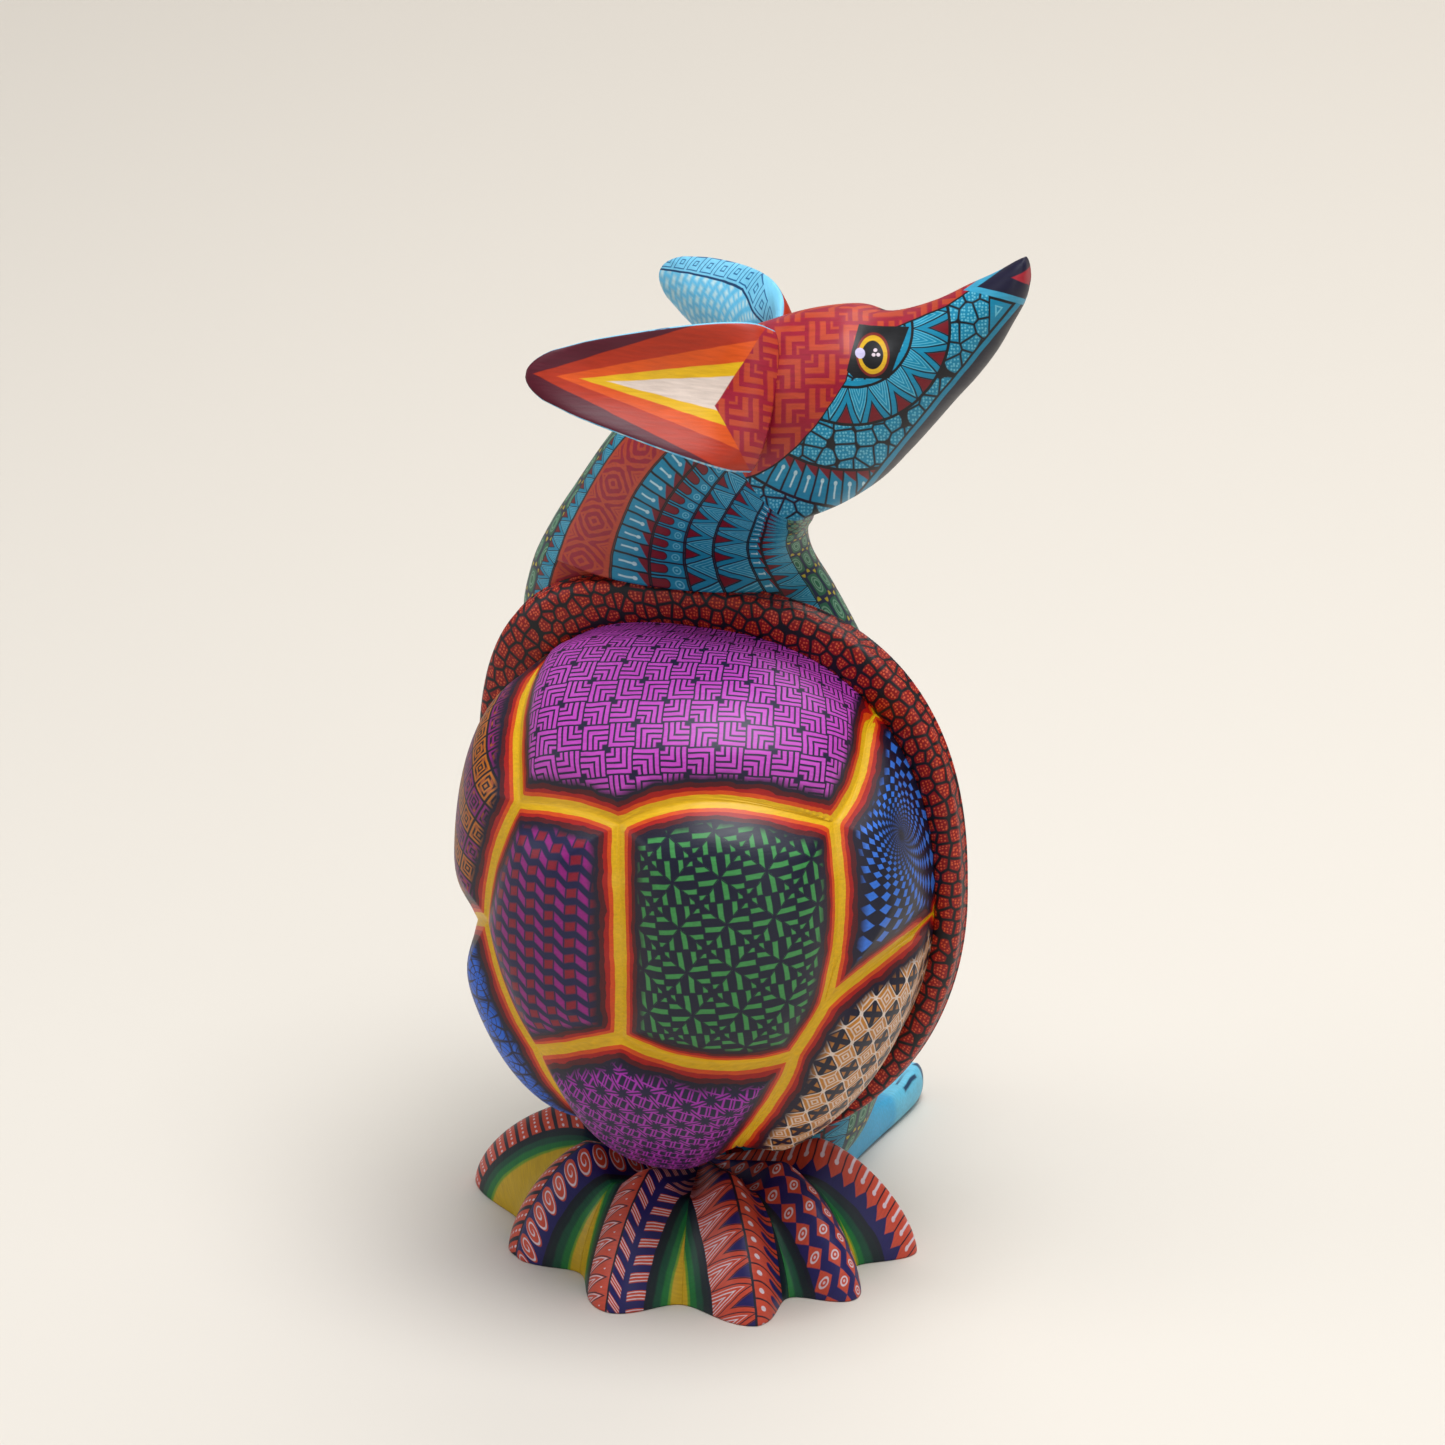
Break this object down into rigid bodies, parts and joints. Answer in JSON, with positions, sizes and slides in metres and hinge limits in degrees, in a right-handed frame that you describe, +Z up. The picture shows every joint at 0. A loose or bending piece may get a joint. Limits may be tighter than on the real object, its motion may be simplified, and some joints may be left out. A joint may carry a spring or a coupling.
{
  "type": "carved animal figure",
  "caption": "Upright carved wooden animal with a fox-like head turned aside, a domed shell on its back, a ribbed fan tail and plug-in ears.",
  "frame": {"origin": "centre of the figure's bounding box at the surface it stands on", "axes": "+Z up; +Y is the way the chest and feet face; +X is the animal's right, the way its head is turned; the shell is at the back, towards -Y"},
  "size_m": [0.1697, 0.1906, 0.3066],
  "materials": {
    "torso_paint": "hand-painted satin acrylic over carved wood",
    "head_paint": "hand-painted satin acrylic over carved wood",
    "bare_wood": "bare sanded wood",
    "right_ear_paint": "hand-painted satin acrylic over carved wood",
    "left_ear_paint": "hand-painted satin acrylic over carved wood",
    "shell_paint": "hand-painted satin acrylic over carved wood",
    "tail_paint": "hand-painted satin acrylic over carved wood",
    "limb_paint": "hand-painted satin acrylic over carved wood",
    "foot_paint": "hand-painted satin acrylic over carved wood"
  },
  "bodies": {
    "figure": {"torso": "torso_paint", "head": "head_paint", "neck_dowel": "bare_wood", "carapace": "shell_paint", "carapace_dowels": "bare_wood", "tail_fan": "tail_paint", "tail_dowels": "bare_wood", "right_foreleg": "limb_paint", "left_foreleg": "limb_paint", "foreleg_dowels": "bare_wood", "right_hind_foot": "foot_paint", "left_hind_foot": "foot_paint", "foot_dowels": "bare_wood"},
    "right_ear_body": {"right_ear": "right_ear_paint", "right_ear_peg": "bare_wood"},
    "left_ear_body": {"left_ear": "left_ear_paint", "left_ear_peg": "bare_wood"}
  },
  "joints": [
    {"name": "right_ear_pull", "type": "slide", "parent": "figure", "child": "right_ear_body", "axis": [-0.3492, -0.8381, 0.4191], "range_m": [0, 0.014]},
    {"name": "left_ear_pull", "type": "slide", "parent": "figure", "child": "left_ear_body", "axis": [-0.3492, 0.8381, 0.4191], "range_m": [0, 0.014]}
  ]
}
